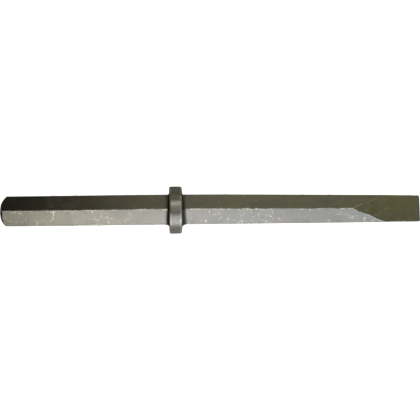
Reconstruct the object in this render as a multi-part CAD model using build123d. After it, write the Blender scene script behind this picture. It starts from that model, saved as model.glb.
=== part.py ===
from build123d import *
import math
import os

# Chisel tool of a breaker hammer: a hexagonal bar with a striking face at one end and a
# broad flat blade at the other, and a round collar fixed on the bar by a fillet weld on
# each side.
#
# Frame: the origin is the centre of the striking face. +X runs along the bar to the
# cutting edge, +Y runs along the cutting edge, and +Z is up through a corner of the
# hexagon, square to the blade. All lengths are in millimetres.

# Bar
ACROSS_FLATS = 28.0
TOTAL_LENGTH = 410.0
BAR_CORNER_ROUND = 0.8  # rolled radius along the six corners

# Striking end: a 45 degree cone trims the hexagon down to a round face
FACE_RADIUS = 12.0

# Collar
SHANK_LENGTH = 152.0  # striking face to the collar's rear face
COLLAR_WIDTH = 12.7
COLLAR_DIAMETER = 46.0
COLLAR_RIM_ROUND = 1.4

# Fillet welds at the collar's two roots. Each also fills a bevel round the ring's bore.
WELD_LEG = 2.2  # along the bar, up the collar's face, and into the bore
BURIED = 0.4  # how far a weld's blank reaches on into the bar before the bar is cut away

# Blade: two hollow-forged bevels, above and below, that meet at the cutting edge
BEVEL_LENGTH = 79.5  # from where a bevel leaves the top corner to the cutting edge
FULL_WIDTH_LENGTH = 42.0  # stretch next to the edge where the bevel spans both side flats
LAND_THICKNESS = 3.2  # blade thickness where the cutting edge is ground on
EDGE_GRIND_LENGTH = 1.5
EDGE_THICKNESS = 0.9  # the cutting edge is left a little blunt
BLADE_CORNER_ROUND = 1.8  # seen from above, at the two ends of the cutting edge
BLADE_SIDE_ROUND = 0.7  # along both long edges of each bevel

# Worked out from the above
CORNER_RADIUS = ACROSS_FLATS / math.sqrt(3)  # centre to a sharp corner of the hexagon
SIDE_CORNER_HEIGHT = CORNER_RADIUS / 2  # height of the four side corners
BEVEL_START = TOTAL_LENGTH - BEVEL_LENGTH
FULL_WIDTH_START = TOTAL_LENGTH - FULL_WIDTH_LENGTH
GRIND_START = TOTAL_LENGTH - EDGE_GRIND_LENGTH
COLLAR_FRONT = SHANK_LENGTH + COLLAR_WIDTH
COLLAR_RADIUS = COLLAR_DIAMETER / 2
SPARE = 5.0  # how far a cutting shape reaches past what it cuts


def hexagon(grow=0.0):
    """The bar's section, moved outwards by grow all round."""
    radius = CORNER_RADIUS + grow * 2 / math.sqrt(3)
    outline = RegularPolygon(radius=radius, side_count=6)
    return fillet(outline.vertices(), BAR_CORNER_ROUND + grow)


def hexagon_prism(length):
    """The rolled bar stock, from x = 0, with a corner up."""
    return extrude(Plane.YZ * Rot(0, 0, 90) * hexagon(), length)


def side_outline():
    """The bar seen from the side (X right, Z up), with both bevels and the edge grind."""
    high = CORNER_RADIUS + SPARE
    rise = (CORNER_RADIUS - SIDE_CORNER_HEIGHT) / (FULL_WIDTH_START - BEVEL_START)
    lead = (BEVEL_START - SPARE, CORNER_RADIUS + rise * SPARE)
    shoulder = (FULL_WIDTH_START, SIDE_CORNER_HEIGHT)
    land = (GRIND_START, LAND_THICKNESS / 2)
    tip = (TOTAL_LENGTH, EDGE_THICKNESS / 2)

    def below(point):
        return (point[0], -point[1])

    with BuildSketch(Plane.XZ) as outline:
        with BuildLine():
            Line((-SPARE, -high), (-SPARE, high))
            Line((-SPARE, high), (lead[0], high))
            Line((lead[0], high), lead)
            ThreePointArc(lead, shoulder, land)
            Line(land, tip)
            Line(tip, below(tip))
            Line(below(tip), below(land))
            ThreePointArc(below(land), below(shoulder), below(lead))
            Line(below(lead), (lead[0], -high))
            Line((lead[0], -high), (-SPARE, -high))
        make_face()
    return outline.sketch


def top_outline():
    """The bar seen from above, with the blade's two corners rounded."""
    length = TOTAL_LENGTH + SPARE
    plan = Rectangle(length, ACROSS_FLATS, align=(Align.MIN, Align.CENTER))
    ends = plan.vertices().group_by(Axis.X)[-1]
    return Pos(-SPARE, 0, 0) * fillet(ends, BLADE_CORNER_ROUND)


def striking_cone():
    """Everything inside the 45 degree cone that trims the striking end."""
    reach = COLLAR_RADIUS
    profile = Polyline(
        (0, 0),
        (0, FACE_RADIUS),
        (reach - FACE_RADIUS, reach),
        (TOTAL_LENGTH + SPARE, reach),
        (TOTAL_LENGTH + SPARE, 0),
        close=True,
    )
    return revolve(make_face(profile), Axis.X, 360)


def is_bevel_edge(edge):
    """True for the long edges between a bevel and the side flats beside it."""
    box = edge.bounding_box()
    runs_along = box.max.X - box.min.X > FULL_WIDTH_LENGTH / 2
    in_blade = box.min.X > BEVEL_START + SPARE
    return runs_along and in_blade and abs(edge.center().Z) < SIDE_CORNER_HEIGHT


def make_hex_bar():
    blank = hexagon_prism(TOTAL_LENGTH)
    width = 2 * COLLAR_DIAMETER
    bevels = extrude(side_outline(), width / 2, both=True)
    corners = extrude(top_outline(), width / 2, both=True)
    bar = blank & bevels & corners & striking_cone()
    bar = bar.solids()[0]
    long_edges = bar.edges().filter_by(is_bevel_edge)
    return fillet(long_edges, BLADE_SIDE_ROUND)


def weld_blank():
    """Weld metal about a collar face at x = 0, over the bar's full section.

    It thins down both ways from the face: along the bar outside, and into the bevelled
    end of the ring's bore inside.
    """
    widest = Plane.YZ * Rot(0, 0, 90) * hexagon(WELD_LEG)
    half = extrude(widest, WELD_LEG + BURIED, taper=45)
    return half + mirror(half, Plane.YZ)


def make_weld(face_x):
    blank = Pos(face_x, 0, 0) * weld_blank()
    return (blank - hexagon_prism(TOTAL_LENGTH)).solids()[0]


def make_collar():
    profile = Pos(SHANK_LENGTH, 0, 0) * Rectangle(
        COLLAR_WIDTH, COLLAR_RADIUS, align=(Align.MIN, Align.MIN)
    )
    rims = profile.vertices().group_by(Axis.Y)[-1]
    ring = revolve(fillet(rims, COLLAR_RIM_ROUND), Axis.X, 360)
    for face_x in (SHANK_LENGTH, COLLAR_FRONT):
        ring -= Pos(face_x, 0, 0) * weld_blank()
    return (ring - hexagon_prism(TOTAL_LENGTH)).solids()[0]


pieces = {
    "hex_bar": make_hex_bar(),
    "collar_ring": make_collar(),
    "rear_weld_fillet": make_weld(SHANK_LENGTH),
    "front_weld_fillet": make_weld(COLLAR_FRONT),
}

os.makedirs("parts", exist_ok=True)
for name, piece in pieces.items():
    export_step(piece, f"parts/{name}.step")
    print(name, round(piece.volume), "mm3")
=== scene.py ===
import math

import bpy
import numpy as np
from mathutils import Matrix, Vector, noise
from mathutils.geometry import delaunay_2d_cdt


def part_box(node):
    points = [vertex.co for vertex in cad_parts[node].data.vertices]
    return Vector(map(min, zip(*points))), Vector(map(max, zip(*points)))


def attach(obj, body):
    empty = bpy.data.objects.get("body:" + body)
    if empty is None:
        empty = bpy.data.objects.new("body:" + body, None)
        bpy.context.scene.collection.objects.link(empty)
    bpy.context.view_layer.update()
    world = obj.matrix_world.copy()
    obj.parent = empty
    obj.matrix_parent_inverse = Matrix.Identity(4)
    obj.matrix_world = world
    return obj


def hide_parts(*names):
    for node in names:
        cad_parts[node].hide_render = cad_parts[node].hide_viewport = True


# The chisel lies level over a white table. Meshes are worked out in millimetres along the
# frame's axes: X from the striking face to the cutting edge, Y along the cutting edge,
# and Z up through a corner of the hexagon.

MM = 0.001
SEED = 7

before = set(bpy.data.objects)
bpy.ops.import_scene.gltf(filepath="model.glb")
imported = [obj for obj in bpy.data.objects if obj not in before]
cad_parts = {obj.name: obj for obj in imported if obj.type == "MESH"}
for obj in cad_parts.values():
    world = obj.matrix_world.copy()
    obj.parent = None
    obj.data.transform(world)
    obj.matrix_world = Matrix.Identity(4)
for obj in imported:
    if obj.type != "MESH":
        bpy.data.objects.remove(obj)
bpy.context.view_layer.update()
bar_low, bar_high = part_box("hex_bar")
ring_low, ring_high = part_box("collar_ring")
weld_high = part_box("rear_weld_fillet")[1]
bar_middle = (bar_low + bar_high) / 2

# Bar, from the frame
LENGTH = bar_high.x / MM
HALF_WIDTH = bar_high.y / MM
CORNER = HALF_WIDTH * 2 / math.sqrt(3)
SIDE_CORNER = CORNER / 2

# Bar, as in the CAD
FACE_RADIUS = 12.0
BEVEL_LENGTH = 79.5
FULL_WIDTH_LENGTH = 42.0
LAND_HALF = 1.6
GRIND_LENGTH = 1.5
EDGE_HALF = 0.45
TIP_CORNER_ROUND = 1.8
EDGE_ROUND = 0.7
BEVEL_LEAD = 5.0  # how far before its start the bevel's arc is drawn from

# Bar, worn and out of true
FACE_OFFSET = -0.45  # how far the end's chamfer is off centre, along Y
RIDGE_HALF_WIDTH = 0.25
MIN_SIDE_CHAMFER = 0.55
MIN_SIDE_HALF = 0.12
FORGING_WAVE = 0.5
FORGING_WAVE_LENGTH = 32.0
FORGING_WAVE_START = 10.5  # from the bevel's start to where its wave first rises
SIDE_LOSS = 0.6  # how far in the +Y side stands at the bar's ends
SIDE_SWELL = 1.2  # how much further out it stands where it is widest
WIDEST_AT = 175.0
SWELL_REACH = 210.0
END_SHADE = (0.6, 0.29)  # painted shade down the striking end: how dark its +Y half and -Y half are painted
END_SHADE_LENGTH = 75.0
FACE_SOOT = 0.35
FLAKED_AT = 45.0  # the middle of a flaked stretch, in front of the collar
FLAKED_REACH = 25.0
FLAKED_FADE = 38.0

# Collar and welds
RING_REAR = ring_low.x / MM
RING_FRONT = ring_high.x / MM
RING_MIDDLE = (RING_REAR + RING_FRONT) / 2
RING_RADIUS = ring_high.z / MM
RIM_ROUND = 1.55
REAR_DRAFT = 0.1
FRONT_DRAFT = 0.45
BORE_GAP = 0.05
WELD_LEG = weld_high.y / MM - HALF_WIDTH
WELD_CORNER = 0.8
WELD_SUNK = 0.3
WELD_BURIED = 0.4

# Meshes
FINE_STEP = 0.15
COARSE_STEP = 0.6
FINE_REACH = 2.2
QUARTER_POINTS = 54
RING_TURNS = 360
WELD_STEP = 0.4
CAP_STEP = 0.8

# Dents: how many, then the ranges of half size and depth
CORNER_CHIPS = (90, (0.9, 3.2), (0.1, 0.34))
PITS = (110, (0.6, 1.3), (0.06, 0.2))
RIM_EDGE_CHIPS = (90, (0.5, 1.7), (0.03, 0.16))
RIM_DENTS = (120, (0.4, 1.2), (0.02, 0.08))


def smooth_min(a, b, blend):
    """The smaller of a and b, rounded over where they cross."""
    h = np.clip(0.5 + 0.5 * (b - a) / blend, 0, 1)
    return b * (1 - h) + a * h - blend * h * (1 - h)


def smooth_step(x, low, high):
    """0 below low, 1 above high, smooth between. With high under low it falls."""
    t = np.clip((x - low) / (high - low), 0, 1)
    return t * t * (3 - 2 * t)


def field(points, size, offset):
    """Smooth noise from -1 to 1 with features about size millimetres across.

    Each offset gives another pattern.
    """
    shift = Vector((offset * 17.3, offset * 5.1, offset * 11.7))
    return np.array([noise.noise(Vector(p) / size + shift) for p in points])


def arc_through(a, b, c):
    """Centre and radius of the circle through three points."""
    ax, ay = a
    bx, by = b
    cx, cy = c
    d = 2 * (ax * (by - cy) + bx * (cy - ay) + cx * (ay - by))
    a2 = ax * ax + ay * ay
    b2 = bx * bx + by * by
    c2 = cx * cx + cy * cy
    ux = (a2 * (by - cy) + b2 * (cy - ay) + c2 * (ay - by)) / d
    uy = (a2 * (cx - bx) + b2 * (ax - cx) + c2 * (bx - ax)) / d
    return ux, uy, math.hypot(ax - ux, ay - uy)


def bevel_heights(x):
    """Half thickness of the bar at x, down the hollow bevels and the edge grind."""
    start = LENGTH - BEVEL_LENGTH
    full = LENGTH - FULL_WIDTH_LENGTH
    grind = LENGTH - GRIND_LENGTH
    rise = (CORNER - SIDE_CORNER) / (full - start)
    lead = (start - BEVEL_LEAD, CORNER + BEVEL_LEAD * rise)
    ux, uy, radius = arc_through(lead, (full, SIDE_CORNER), (grind, LAND_HALF))
    hollow = uy - np.sqrt(radius**2 - (x - ux) ** 2)
    ridge = CORNER - RIDGE_HALF_WIDTH / math.sqrt(3)
    turn = (x - start - FORGING_WAVE_START) / FORGING_WAVE_LENGTH * 2 * math.pi
    fade = smooth_step(x, start, start + 14) * smooth_step(x, full - 2, full - 16)
    hollow = hollow + FORGING_WAVE * np.sin(turn) * fade
    height = smooth_min(np.full_like(x, ridge), hollow, 0.25)
    ground = LAND_HALF + (x - grind) / GRIND_LENGTH * (EDGE_HALF - LAND_HALF)
    height = smooth_min(height, ground, 0.08)
    return np.where(x < start - BEVEL_LEAD, ridge, height)


def rounded(prev, corner, following, radius, count):
    """Points round a corner, as a smooth curve between its two tangent points."""
    into = prev - corner
    out = following - corner
    len_in = np.linalg.norm(into)
    len_out = np.linalg.norm(out)
    into = into / len_in
    out = out / len_out
    half_turn = (math.pi - math.acos(np.clip(into @ out, -1, 1))) / 2
    cut = min(radius * math.tan(half_turn), 0.48 * len_in, 0.48 * len_out)
    t = np.linspace(0, 1, count)[:, None]
    a = corner + into * cut
    b = corner + out * cut
    return (1 - t) ** 2 * a + 2 * t * (1 - t) * corner + t**2 * b


def quarter_section(height, half_width):
    """A quarter of the bar's section, from the top centre round to the side's middle.

    Its third column is the distance to the nearest corner.
    """
    wide = min((CORNER - height) * math.sqrt(3), half_width - MIN_SIDE_CHAMFER)
    drop = (half_width - wide) / math.sqrt(3)
    side = max(height - drop, MIN_SIDE_HALF)
    top = np.array([0.0, height])
    shoulder = np.array([wide, height])
    corner = np.array([half_width, side])
    middle = np.array([half_width, 0.0])
    first = rounded(top, shoulder, corner, EDGE_ROUND, 9)
    second = rounded(shoulder, corner, middle, EDGE_ROUND, 13)
    line = np.vstack([top, first, second, middle])
    fine = np.linspace(0, 1, 400)
    steps = np.r_[0, np.cumsum(np.linalg.norm(np.diff(line, axis=0), axis=1))]
    along = fine * steps[-1]
    points = np.stack([np.interp(along, steps, line[:, i]) for i in (0, 1)], axis=1)
    near = np.minimum(
        np.linalg.norm(points - shoulder, axis=1),
        np.linalg.norm(points - corner, axis=1),
    )
    spacing = FINE_STEP + (COARSE_STEP - FINE_STEP) * smooth_step(near, 0, FINE_REACH)
    weight = np.r_[0, np.cumsum(1 / spacing[1:])]
    share = np.linspace(0, weight[-1], QUARTER_POINTS + 1)
    columns = (points[:, 0], points[:, 1], near)
    return np.stack([np.interp(share, weight, c) for c in columns], axis=1)


def full_loop(quarter):
    """The whole section from its quarter: top, +Y side, bottom, -Y side."""
    right = np.vstack([quarter, (quarter * (1, -1, 1))[-2::-1]])
    left = (right * (-1, 1, 1))[-2:0:-1]
    return np.vstack([right, left])


def stations():
    """Where the bar's sections are taken, closer together where the shape changes."""
    bevel = LENGTH - BEVEL_LENGTH - 6.5
    blade = LENGTH - FULL_WIDTH_LENGTH + 2
    tip = LENGTH - 3
    ends = [0.0, 1.0, 6.0, bevel, blade, tip, LENGTH]
    steps = [0.12, 0.35, 1.15, 0.6, 0.9, 0.12]
    parts = []
    for start, end, step in zip(ends, ends[1:], steps):
        parts.append(np.linspace(start, end, round((end - start) / step) + 1)[:-1])
    return np.r_[np.concatenate(parts), LENGTH]


def side_drift(x):
    """How far out of true the +Y side stands at x. The bar is widest near the collar."""
    far = max(-1.0, min(1.0, (x - WIDEST_AT) / SWELL_REACH))
    return SIDE_SWELL * math.cos(far * math.pi / 2) ** 2 - SIDE_LOSS


def bar_grid():
    """The bar's surface as rows of points, one for each station, and the corners' distance."""
    xs = stations()
    heights = bevel_heights(xs)
    inset = np.clip(xs - (LENGTH - TIP_CORNER_ROUND), 0, TIP_CORNER_ROUND)
    inset = TIP_CORNER_ROUND - np.sqrt(TIP_CORNER_ROUND**2 - inset**2)
    rows = []
    near = []
    for x, height, less in zip(xs, heights, inset):
        loop = full_loop(quarter_section(height, HALF_WIDTH - less))
        loop[:, 0] += side_drift(x) * (1 + loop[:, 0] / HALF_WIDTH) / 2
        reach = np.linalg.norm(loop[:, :2], axis=1)
        cone = FACE_RADIUS + x - 0.25 * max(0.0, 1 - x / 0.6) ** 2
        cone = cone + FACE_OFFSET * loop[:, 0] / reach
        trim = smooth_min(reach, np.full_like(reach, cone), 0.35) / reach
        rows.append(np.column_stack([np.full(len(loop), x), loop[:, :2] * trim[:, None]]))
        near.append(loop[:, 2])
    return np.array(rows), np.array(near)


def grid_normals(grid):
    """Outward normals of a grid whose rows are closed loops."""
    along = np.gradient(grid, axis=0)
    round_loop = np.roll(grid, -1, axis=1) - np.roll(grid, 1, axis=1)
    normals = np.cross(round_loop, along)
    return normals / np.maximum(np.linalg.norm(normals, axis=2), 1e-9)[:, :, None]


def spots(rng, x_range, count, size_range, depth_range):
    """Random dents: x, place round the loop from 0 to 1, half length, half width, depth."""
    for _ in range(count):
        x = rng.uniform(*x_range)
        place = rng.uniform(0, 1)
        along = rng.uniform(*size_range)
        across = rng.uniform(*size_range) * 0.7
        yield x, place, along, across, rng.uniform(*depth_range)


def corner_places(row):
    """Where the six corners of the hexagon come in a row, as point numbers."""
    angles = np.degrees(np.arctan2(row[:, 2], row[:, 1]))
    wanted = [90, 30, -30, -90, -150, 150]
    return [int(np.argmin(np.abs((angles - w + 180) % 360 - 180))) for w in wanted]


def dent(grid, push, mask, centre, along, across, depth):
    """Sinks an oval hollow into the surface about a centre, and marks it in the mask."""
    rows = np.abs(grid[:, 0, 0] - centre[0]) < along * 1.6
    offset = grid[rows] - centre
    distance = np.hypot(
        offset[:, :, 0] / along,
        np.linalg.norm(offset[:, :, 1:], axis=2) / across,
    )
    hollow = smooth_step(1 - distance, 0, 1)
    push[rows] -= depth * hollow
    mask[rows] = np.maximum(mask[rows], hollow)


def weather_bar(grid):
    """Waves, scale, pits and chipped corners. Returns the worn grid and the two masks."""
    rng = np.random.default_rng(SEED)
    shape = grid.shape[:2]
    points = grid.reshape(-1, 3)
    push = 0.03 * field(points * (0.35, 1, 1), 16.0, 1).reshape(shape)
    push += 0.02 * field(points, 3.2, 2).reshape(shape)
    bevel = LENGTH - BEVEL_LENGTH
    blade = smooth_step(grid[:, :, 0], bevel - 4.5, bevel + 9.5)
    push += 0.06 * blade * field(points * (0.6, 1, 1), 6.5, 3).reshape(shape)
    chips = np.zeros(shape)
    pits = np.zeros(shape)
    corners = corner_places(grid[len(grid) // 3])
    for x, place, *sizes in spots(rng, (6, LENGTH - 90), *CORNER_CHIPS):
        row = int(np.argmin(np.abs(grid[:, 0, 0] - x)))
        centre = grid[row, corners[int(place * 6)]]
        dent(grid, push, chips, centre, *sizes)
    for x, place, *sizes in spots(rng, (4, LENGTH - 6), *PITS):
        row = int(np.argmin(np.abs(grid[:, 0, 0] - x)))
        centre = grid[row, int(place * shape[1])]
        dent(grid, push, pits, centre, *sizes)
    return grid + grid_normals(grid) * push[:, :, None], chips, pits


def tube_faces(rows, count, closed=False):
    """Quads of a grid whose rows are closed loops of count points."""
    faces = []
    for r in range(rows if closed else rows - 1):
        here = r * count
        there = (r + 1) % rows * count
        for k in range(count):
            after = (k + 1) % count
            faces.append((here + k, there + k, there + after, here + after))
    return faces


def face_cap(ring, first):
    """A dished, slightly dented face inside the closed ring. Returns new points and faces."""
    radius = np.linalg.norm(ring[:, 1:], axis=1).mean()
    inner = []
    for r in np.arange(radius - CAP_STEP, 0.3, -CAP_STEP):
        count = max(6, round(2 * math.pi * r / CAP_STEP))
        turn = np.arange(count) / count * 2 * math.pi + r
        inner.append(np.column_stack([r * np.cos(turn), r * np.sin(turn)]))
    inner = np.vstack(inner + [np.zeros((1, 2))])
    count = len(ring)
    flat = np.vstack([ring[:, 1:], inner])
    edges = [(k, (k + 1) % count) for k in range(count)]
    made = delaunay_2d_cdt([Vector(p) for p in flat], edges, [], 1, 1e-6)
    points = np.column_stack([np.zeros(len(inner)), inner])
    depth = 0.14 * (0.5 + 0.5 * field(points, 5.0, 9)) + 0.05 * field(points, 1.7, 10)
    edge = smooth_step(radius - np.linalg.norm(inner, axis=1), 0, 3)
    points[:, 0] = np.clip(depth, 0.0, None) * edge
    ids = {i: (i if i < count else first + i - count) for i in range(len(flat))}
    original = [group[0] for group in made[3]]
    return points, [tuple(ids[original[i]] for i in f) for f in made[2]]


def set_masks(mesh, **masks):
    for name, values in masks.items():
        attribute = mesh.attributes.new(name, "FLOAT", "POINT")
        attribute.data.foreach_set("value", np.asarray(values, np.float32).ravel())


def mesh_piece(name, points, faces, slot, material, **masks):
    mesh = bpy.data.meshes.new(name)
    mesh.from_pydata((points * MM).tolist(), [], faces)
    mesh.polygons.foreach_set("use_smooth", [True] * len(mesh.polygons))
    mesh.materials.append(material)
    set_masks(mesh, **masks)
    mesh.update()
    piece = bpy.data.objects.new(name, mesh)
    bpy.context.scene.collection.objects.link(piece)
    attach(piece, "root")
    return piece


def bar_soot(grid):
    """How dark each point is painted, from 0 to 1: painted shade on the end's chamfer, at the weld
    roots beside the collar, down the striking end (deeper on the +Y half) and along the edge
    grind.
    """
    x = grid[:, :, 0]
    off_cone = FACE_RADIUS + x - np.linalg.norm(grid[:, :, 1:], axis=2)
    roots = np.minimum(np.abs(x - RING_REAR), np.abs(x - RING_FRONT))
    end = np.where(grid[:, :, 1] > 0, *END_SHADE)
    grind = LENGTH - GRIND_LENGTH
    parts = [
        1 - smooth_step(off_cone, 0.1, 0.9),
        0.5 * (1 - smooth_step(roots, WELD_LEG - 0.4, WELD_LEG + 2.1)),
        end * (1 - smooth_step(x, 0, END_SHADE_LENGTH)),
        0.8 * smooth_step(x, grind - 0.4, grind),
    ]
    return np.maximum.reduce(parts)


def edge_faces(first, count):
    """The cutting edge: the last loop, whose points start at first, closed by strips across it."""
    faces = []
    half = count // 2
    for k in range(half):
        near = (first + k, first + k + 1)
        far = (first + (half * 2 - k - 1) % count, first + (half * 2 - k) % count)
        faces.append(tuple(dict.fromkeys(near + far)))
    return faces


def make_bar(material):
    grid, near = bar_grid()
    worn, chips, pits = weather_bar(grid)
    worn[:, :, 0] = np.clip(worn[:, :, 0], 0, LENGTH)
    worn[0, :, 0] = 0.0
    rows, count = worn.shape[:2]
    edge = np.exp(-((near / EDGE_ROUND) ** 2))
    from_flaked = np.abs(grid[:, :, 0] - RING_FRONT - FLAKED_AT)
    flaky = 1 - smooth_step(from_flaked, FLAKED_REACH, FLAKED_FADE)
    points = worn.reshape(-1, 3)
    cap, cap_faces = face_cap(worn[0], len(points))
    faces = tube_faces(rows, count)
    faces += [tuple(reversed(f)) for f in cap_faces]
    faces += edge_faces((rows - 1) * count, count)
    spare = np.zeros(len(cap))
    piece = mesh_piece(
        "worn_bar",
        np.vstack([points, cap]),
        faces,
        "bar_steel",
        material,
        edge=np.r_[edge.ravel(), spare],
        chips=np.r_[chips.ravel(), spare],
        pits=np.r_[pits.ravel(), spare],
        soot=np.r_[bar_soot(grid).ravel(), spare + FACE_SOOT],
        flaky=np.r_[flaky.ravel(), spare],
    )
    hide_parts("hex_bar")


def hexagon_reach(turn):
    """Distance from the axis to the bar's flat, in the direction turn (radians from +Y)."""
    sixth = math.pi / 3
    return HALF_WIDTH / math.cos((turn + sixth / 2) % sixth - sixth / 2)


def ring_side(bore, draft):
    """Half of the collar's section: distance in from the side face, and radius."""
    flat = RING_RADIUS - RIM_ROUND
    radii = np.linspace(bore + BORE_GAP, flat, 15)[:-1]
    root = HALF_WIDTH + WELD_LEG
    face = draft * smooth_step(radii, root, RING_RADIUS)
    bend = np.linspace(0, math.pi / 2, 12)
    bend_in = draft * smooth_step(flat, root, RING_RADIUS) + RIM_ROUND * (1 - np.cos(bend))
    bend_out = flat + RIM_ROUND * np.sin(bend)
    rim = np.linspace(bend_in[-1], RING_MIDDLE - RING_REAR, 9)[1:]
    inward = np.r_[face, bend_in, rim]
    return np.column_stack([inward, np.r_[radii, bend_out, np.full(8, RING_RADIUS)]])


def ring_profile(bore):
    """The collar's section as a closed loop: rear face, rim, front face, bore."""
    rear = ring_side(bore, REAR_DRAFT) + (RING_REAR, 0)
    front = ring_side(bore, FRONT_DRAFT)[-2::-1] * (-1, 1) + (RING_FRONT, 0)
    bore_x = np.linspace(RING_FRONT, RING_REAR, 7)[1:-1]
    return np.vstack([rear, front, np.column_stack([bore_x, np.full(5, bore + BORE_GAP)])])


def make_ring(material):
    rng = np.random.default_rng(SEED + 1)
    turns = np.arange(RING_TURNS) / RING_TURNS * 2 * math.pi
    rows = []
    for turn in turns:
        profile = ring_profile(hexagon_reach(turn))
        x, r = profile[:, 0], profile[:, 1]
        rows.append(np.column_stack([x, r * math.cos(turn), r * math.sin(turn)]))
    grid = np.array(rows)
    shape = grid.shape[:2]
    points = grid.reshape(-1, 3)
    normals = -grid_normals(grid)
    reach = np.linalg.norm(grid[:, :, 1:], axis=2)
    outer = smooth_step(reach, HALF_WIDTH + WELD_LEG + 1, RING_RADIUS - RIM_ROUND)
    push = -0.06 + 0.08 * field(points, 11.0, 4).reshape(shape)
    push += 0.04 * field(points, 3.0, 5).reshape(shape)
    side = np.abs(grid[:, :, 0] - RING_MIDDLE) / (RING_MIDDLE - RING_REAR)
    bend = smooth_step(side, 0.5, 0.62) * smooth_step(reach, RING_RADIUS - RIM_ROUND, RING_RADIUS)
    chips = np.zeros(shape)
    for where, (count, sizes, depths) in (
        (bend > 0.5, RIM_EDGE_CHIPS),
        (reach > RING_RADIUS - 0.1, RIM_DENTS),
    ):
        places = np.argwhere(where)
        for _ in range(count):
            row, column = places[rng.integers(len(places))]
            offset = np.linalg.norm(grid - grid[row, column], axis=2) / rng.uniform(*sizes)
            hollow = smooth_step(1 - offset, 0, 1)
            push -= rng.uniform(*depths) * hollow
            chips = np.maximum(chips, hollow * rng.uniform(0.3, 1.0))
    worn = grid + normals * (np.minimum(push, 0) * outer)[:, :, None]
    piece = mesh_piece(
        "forged_collar",
        worn.reshape(-1, 3),
        [tuple(reversed(f)) for f in tube_faces(*shape, closed=True)],
        "collar_steel",
        material,
        edge=bend * (0.75 + 0.25 * (grid[:, :, 0] > RING_MIDDLE)),
        chips=chips,
        pits=np.zeros(shape),
        # Painted shade on the collar's side faces, black by the bar and fading out at the rim
        soot=0.85 * (1 - smooth_step(reach, RING_RADIUS - 2.0, RING_RADIUS - 0.2)),
    )
    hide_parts("collar_ring")


def hexagon_loop(spacing):
    """Points round the bar's hexagon with its corners rounded, and their outward normals."""
    points = []
    normals = []
    sixth = math.pi / 3
    corner_reach = CORNER - WELD_CORNER * 2 / math.sqrt(3)
    flat_length = CORNER - 2 * WELD_CORNER * math.tan(sixth / 2)
    for k in range(6):
        turn = sixth / 2 + sixth * k
        centre = corner_reach * np.array([math.cos(turn), math.sin(turn)])
        for angle in np.linspace(turn - sixth / 2, turn + sixth / 2, 9):
            normal = np.array([math.cos(angle), math.sin(angle)])
            points.append(centre + WELD_CORNER * normal)
            normals.append(normal)
        along = np.array([-normals[-1][1], normals[-1][0]])
        start = points[-1]
        for step in np.linspace(0, flat_length, round(flat_length / spacing) + 1)[1:-1]:
            points.append(start + along * step)
            normals.append(normals[-1])
    return np.array(points), np.array(normals)


def weld_profile(leg_along, leg_up, fullness):
    """A weld's section: distance along the bar from the collar's face, and off the flat."""
    turn = np.linspace(0, math.pi / 2, 13)
    hollow = np.column_stack([leg_along * (1 - np.sin(turn)), leg_up * (1 - np.cos(turn))])
    share = np.linspace(0, 1, 13)[:, None]
    straight = (1 - share) * (leg_along, 0) + share * (0, leg_up)
    face = (1 - fullness) * hollow + fullness * straight
    foot = np.array([[leg_along, -WELD_SUNK]])
    buried = np.array([[-WELD_BURIED, leg_up], [-WELD_BURIED, -WELD_SUNK]])
    return np.vstack([foot, face, buried])


def make_weld(name, node, face_x, way, scale_and_shade, extra, lean, material):
    """A bead round the hexagon at the collar's face face_x, on the side that way points to.

    The argument after way is how black its top is, from 0 to 1: weld scale, and painted shade in
    the crease against the collar. extra is how much further than its leg it runs along the bar,
    and lean how much more it does so on the -Y side than at the top.
    """
    loop, normals = hexagon_loop(WELD_STEP)
    around = np.column_stack([np.full(len(loop), face_x), loop])
    drift = field(around, 7.0, 6)
    lumps = field(around, 1.6, 7)
    rows = []
    soot = []
    for point, normal, slow, quick in zip(loop, normals, drift, lumps):
        leg = WELD_LEG * (0.93 + 0.22 * slow)
        run = leg + extra - lean * point[0] / HALF_WIDTH + 0.12 * quick
        profile = weld_profile(run, min(leg, WELD_LEG - 0.05), 0.45 + 0.1 * quick)
        x = face_x + way * profile[:, 0]
        off = point + profile[:, 1:] * normal
        rows.append(np.column_stack([x, off]))
        # Black at the top against the collar, lighter at the foot: weld scale and painted shade in
        # the crease
        soot.append(scale_and_shade * (1 - 0.75 * smooth_step(profile[:, 0] / run, 0.45, 1.0)))
    grid = np.array(rows)
    faces = tube_faces(*grid.shape[:2], closed=True)
    if way < 0:
        faces = [tuple(reversed(f)) for f in faces]
    none = np.zeros(grid.shape[:2])
    masks = {"edge": none, "chips": none, "pits": none, "soot": soot}
    piece = mesh_piece(name, grid.reshape(-1, 3), faces, "weld_metal", material, **masks)
    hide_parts(node)


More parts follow.
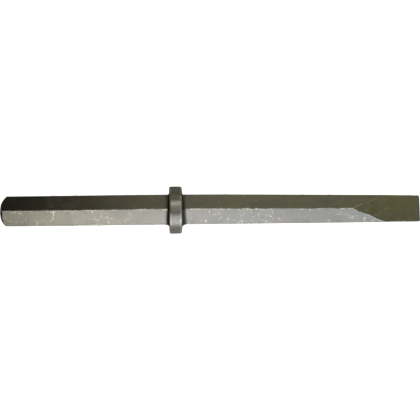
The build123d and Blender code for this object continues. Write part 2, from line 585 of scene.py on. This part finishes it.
class Shader:
    """A material with a Principled surface, and short ways to add nodes to it."""

    def __init__(self, name):
        self.material = bpy.data.materials.new(name)
        self.material.use_nodes = True
        self.tree = self.material.node_tree
        self.surface = self.tree.nodes["Principled BSDF"]

    def node(self, kind, inputs, output=0, **settings):
        """A new node's output. An input is a number, a colour or another node's output."""
        made = self.tree.nodes.new("ShaderNode" + kind)
        for key, value in settings.items():
            setattr(made, key, value)
        for key, value in inputs.items():
            self.put(made.inputs[key], value)
        return made.outputs[output]

    def put(self, socket, value):
        if isinstance(value, bpy.types.NodeSocket):
            self.tree.links.new(value, socket)
        else:
            socket.default_value = value

    def calc(self, operation, a, b):
        return self.node("Math", {0: a, 1: b}, operation=operation)

    def plus(self, a, b):
        return self.calc("ADD", a, b)

    def minus(self, a, b):
        return self.calc("SUBTRACT", a, b)

    def times(self, a, b):
        return self.calc("MULTIPLY", a, b)

    def greatest(self, first, *others):
        for other in others:
            first = self.calc("MAXIMUM", first, other)
        return first

    def ramp(self, value, low, high):
        """0 below low, 1 above high, smooth between. With high under low it falls."""
        inputs = {"Value": value, "From Min": low, "From Max": high}
        return self.node("MapRange", inputs, interpolation_type="SMOOTHSTEP")

    def mix(self, factor, a, b):
        inputs = {0: factor, 6: a, 7: b}
        return self.node("Mix", inputs, output=2, data_type="RGBA")

    def millimetres(self, stretch=(1.0, 1.0, 1.0)):
        """The point on the object in millimetres, times stretch along each axis."""
        place = self.node("TexCoord", {}, output="Object")
        scale = tuple(s / MM for s in stretch)
        return self.node("VectorMath", {0: place, 1: scale}, operation="MULTIPLY")

    def noise(self, size, detail=3.0, stretch=(1.0, 1.0, 1.0), bend=0.0):
        """Noise from 0 to 1 with features about size millimetres across."""
        inputs = {
            "Vector": self.millimetres(stretch),
            "Scale": 1 / size,
            "Detail": detail,
            "Distortion": bend,
        }
        return self.node("TexNoise", inputs)

    def cracks(self, size):
        """Distance from the wavering edges between cells about size millimetres across."""
        inputs = {"Vector": self.millimetres(), "Scale": 0.35}
        wander = self.node("TexNoise", inputs, output="Color")
        wander = self.node("VectorMath", {0: wander, 1: (0.5, 0.5, 0.5)}, operation="SUBTRACT")
        wander = self.node("VectorMath", {0: wander, "Scale": 5.0}, operation="SCALE")
        place = self.node("VectorMath", {0: self.millimetres(), 1: wander}, operation="ADD")
        inputs = {"Vector": place, "Scale": 1 / size}
        return self.node("TexVoronoi", inputs, output="Distance", feature="DISTANCE_TO_EDGE")

    def mask(self, name):
        return self.node("Attribute", {}, output="Fac", attribute_name=name)


# Colours of the steel's surface
OLIVE = (0.045, 0.043, 0.022, 1.0)
BROWN = (0.052, 0.040, 0.024, 1.0)
GREY = (0.050, 0.050, 0.044, 1.0)
# Black for soot and for painted shade
SOOT_AND_SHADE = (0.024, 0.022, 0.015, 1.0)
BARE = (0.46, 0.45, 0.42, 1.0)
RUST = (0.13, 0.07, 0.03, 1.0)


def oxide_steel(name, olive, brown, grey, roughness, wear):
    """Dark scaled steel with worn corners, flaked scale, scratches, pits and rust, blacked with
    soot and painted shade, and with its bare marks thinned on the +Y half as painted shade.
    """
    s = Shader(name)
    blotch = s.ramp(s.noise(26.0, 4.0, (0.6, 1, 1), 0.4), 0.4, 0.62)
    cloud = s.ramp(s.noise(9.0, 3.0, (0.7, 1, 1)), 0.4, 0.7)
    grain = s.noise(0.9, 3.0, (0.08, 1, 1))
    fine = s.noise(0.5, 4.0)
    colour = s.mix(blotch, olive, brown)
    colour = s.mix(s.times(cloud, 0.6), colour, grey)
    dark = tuple(c * 0.45 for c in olive[:3]) + (1.0,)
    colour = s.mix(s.ramp(grain, 0.46, 0.26), colour, dark)

    flaked = s.ramp(s.cracks(9.0), 0.045, 0.015)
    flaked = s.times(flaked, s.ramp(s.noise(5.0, 2.0), 0.48, 0.58))
    patches = s.greatest(s.ramp(s.noise(28.0, 1.0), 0.4, 0.53), s.mask("flaky"))
    flaked = s.times(flaked, patches)
    across = s.node("SeparateXYZ", {0: s.millimetres()}, output=1)
    # Bare marks at full strength on the -Y half, a quarter as strong on the +Y half: painted shade
    # on the +Y half
    bare_side_shade = s.plus(0.25, s.times(s.ramp(across, 1.0, -1.0), 0.75))
    along = s.ramp(s.noise(1.0, 1.0, (0.03, 1, 1)), 0.77, 0.83)
    slant = s.ramp(s.noise(1.2, 1.0, (0.35, 0.8, 0.4), 0.4), 0.74, 0.8)
    corner = s.ramp(s.mask("edge"), 0.5, 0.95)
    corner = s.times(corner, s.ramp(s.noise(6.0, 4.0), 0.36, 0.62))
    chipped = s.times(s.ramp(s.mask("chips"), 0.25, 0.6), 0.6)
    bare = s.greatest(s.times(flaked, 0.75), along, slant)
    bare = s.greatest(s.times(bare, bare_side_shade), corner, chipped)
    bare = s.times(bare, wear)
    colour = s.mix(bare, colour, BARE)

    rust = s.ramp(s.noise(4.5, 6.0), 0.63, 0.74)
    rust = s.times(rust, s.ramp(s.noise(19.0, 1.0), 0.5, 0.66))
    colour = s.mix(s.times(rust, 0.5), colour, RUST)
    pit = s.ramp(s.mask("pits"), 0.2, 0.7)
    colour = s.mix(s.times(pit, 0.8), colour, dark)
    # Blackened by the mesh mask: soot and weld scale, and painted shade on the chamfer, weld
    # roots, collar faces, striking end and edge grind
    soot = s.times(s.mask("soot"), s.minus(1.0, s.times(bare, 0.6)))
    colour = s.mix(soot, colour, SOOT_AND_SHADE)

    rough = s.plus(roughness - 0.04, s.times(cloud, 0.08))
    rough = s.minus(rough, s.times(bare, 0.08))
    rough = s.plus(rough, s.times(rust, 0.2))
    rough = s.plus(rough, s.times(soot, 0.15))

    height = s.plus(s.times(fine, 0.35), s.times(grain, 0.3))
    height = s.plus(height, s.times(s.noise(2.4, 4.0), 0.8))
    height = s.minus(height, s.times(bare, 0.5))
    bump = {"Height": height, "Strength": 0.5, "Distance": 0.00012}

    surface = s.surface.inputs
    s.put(surface["Base Color"], colour)
    s.put(surface["Metallic"], s.calc("MAXIMUM", s.times(bare, 0.9), soot))
    s.put(surface["Roughness"], rough)
    s.put(surface["Normal"], s.node("Bump", bump))
    surface["IOR"].default_value = 2.35
    return s.material


# Lamps, in metres
LAMP_DISTANCE = 1.0
LAMP = (0.46, 0.36)
TALL = (0.46, 0.5)
STRIP = (0.22, 0.32)


def softbox(name, azimuth, elevation, size, radiance, colour):
    """A rectangular light facing the bar. Azimuth 0 is towards +Y, 90 towards +X, in degrees."""
    a = math.radians(azimuth)
    e = math.radians(elevation)
    away = Vector((math.sin(a) * math.cos(e), math.cos(a) * math.cos(e), math.sin(e)))
    data = bpy.data.lights.new(name, "AREA")
    data.shape = "RECTANGLE"
    data.size, data.size_y = size
    data.energy = radiance * math.pi * size[0] * size[1]
    data.color = colour
    light = bpy.data.objects.new(name, data)
    light.location = bar_middle + away * LAMP_DISTANCE
    light.rotation_mode = "QUATERNION"
    light.rotation_quaternion = away.to_track_quat("Z", "Y")
    light.visible_camera = False
    bpy.context.scene.collection.objects.link(light)


# Colours of the light
WHITE = (1.0, 1.0, 1.0)
COOL = (0.86, 0.96, 1.0)
WARM = (1.0, 0.95, 0.79)
AMBER = (1.0, 0.95, 0.6)
OLIVE_LIGHT = (1.0, 0.94, 0.25)


def make_lights():
    """A bright row of lamps on the -Y side, a dim row on the +Y side, and lamps overhead."""
    # Name, azimuth, elevation, size, radiance, colour
    lamps = [
        ("key_1", 125, 24, TALL, 2.2, COOL),
        ("key_2", 150, 24, TALL, 1.95, WHITE),
        ("key_3", 175, 24, TALL, 2.6, WHITE),
        ("key_4", 200, 24, TALL, 2.8, WARM),
        ("key_5", 225, 24, TALL, 1.6, WARM),
        ("fill_1", 0, 22, LAMP, 0.69, AMBER),
        ("fill_2", 25, 22, LAMP, 0.67, AMBER),
        ("fill_3", 50, 22, LAMP, 0.35, AMBER),
        ("end", 75, 32, LAMP, 0.62, OLIVE_LIGHT),
        ("top_1", 0, 60, STRIP, 5.9, WARM),
        ("top_2", 90, 60, LAMP, 0.9, WHITE),
        ("top_3", 180, 52, LAMP, 3.3, WHITE),
        ("top_4", 0, 88, LAMP, 1.2, WARM),
    ]
    for lamp in lamps:
        softbox(*lamp)


def seen_by_camera(tree):
    return tree.nodes.new("ShaderNodeLightPath").outputs["Is Camera Ray"]


def make_world():
    """Dim even light, on a white background."""
    world = bpy.data.worlds.new("studio")
    bpy.context.scene.world = world
    world.use_nodes = True
    tree = world.node_tree
    tint = tree.nodes.new("ShaderNodeMix")
    tint.data_type = "RGBA"
    tint.inputs[6].default_value = (0.012, 0.012, 0.012, 1.0)
    tint.inputs[7].default_value = (1.05, 1.05, 1.05, 1.0)
    tree.links.new(seen_by_camera(tree), tint.inputs[0])
    tree.links.new(tint.outputs[2], tree.nodes["Background"].inputs["Color"])


def make_floor():
    """A level white table, touched by the collar. To the camera it is lit evenly."""
    mesh = bpy.data.meshes.new("floor")
    reach = 1.2
    corners = []
    for u, v in ((-1, -1), (1, -1), (1, 1), (-1, 1)):
        corners.append((bar_middle.x + u * reach, v * reach, ring_low.z))
    mesh.from_pydata(corners, [], [(0, 1, 2, 3)])
    floor = bpy.data.objects.new("floor", mesh)
    bpy.context.scene.collection.objects.link(floor)
    s = Shader("floor_white")
    surface = s.surface.inputs
    surface["Base Color"].default_value = (0.6, 0.6, 0.6, 1.0)
    surface["Roughness"].default_value = 0.9
    surface["Emission Color"].default_value = (1.0, 1.0, 1.0, 1.0)
    s.put(surface["Emission Strength"], s.times(seen_by_camera(s.tree), 1.02))
    mesh.materials.append(s.material)


def make_camera():
    data = bpy.data.cameras.new("camera")
    data.sensor_width = 36.0
    data.lens = 33.37
    camera = bpy.data.objects.new("camera", data)
    camera.location = (0.15464, -0.01767, 0.38)
    camera.rotation_euler = (0.04711, -0.09721, -0.01265)
    bpy.context.scene.collection.objects.link(camera)
    bpy.context.scene.camera = camera


steel = oxide_steel("scaled_steel", OLIVE, BROWN, GREY, 0.36, 1.0)
make_bar(steel)
make_ring(oxide_steel("collar_scale", OLIVE, BROWN, GREY, 0.38, 0.85))
weld = oxide_steel("weld_oxide", BROWN, OLIVE, GREY, 0.5, 0.3)
make_weld("rear_weld_bead", "rear_weld_fillet", RING_REAR, -1, 1.0, 0.0, 0.7, weld)
make_weld("front_weld_bead", "front_weld_fillet", RING_FRONT, 1, 0.8, 0.45, 1.5, weld)
make_lights()
make_world()
make_floor()
make_camera()
bpy.context.scene.view_settings.view_transform = "Standard"
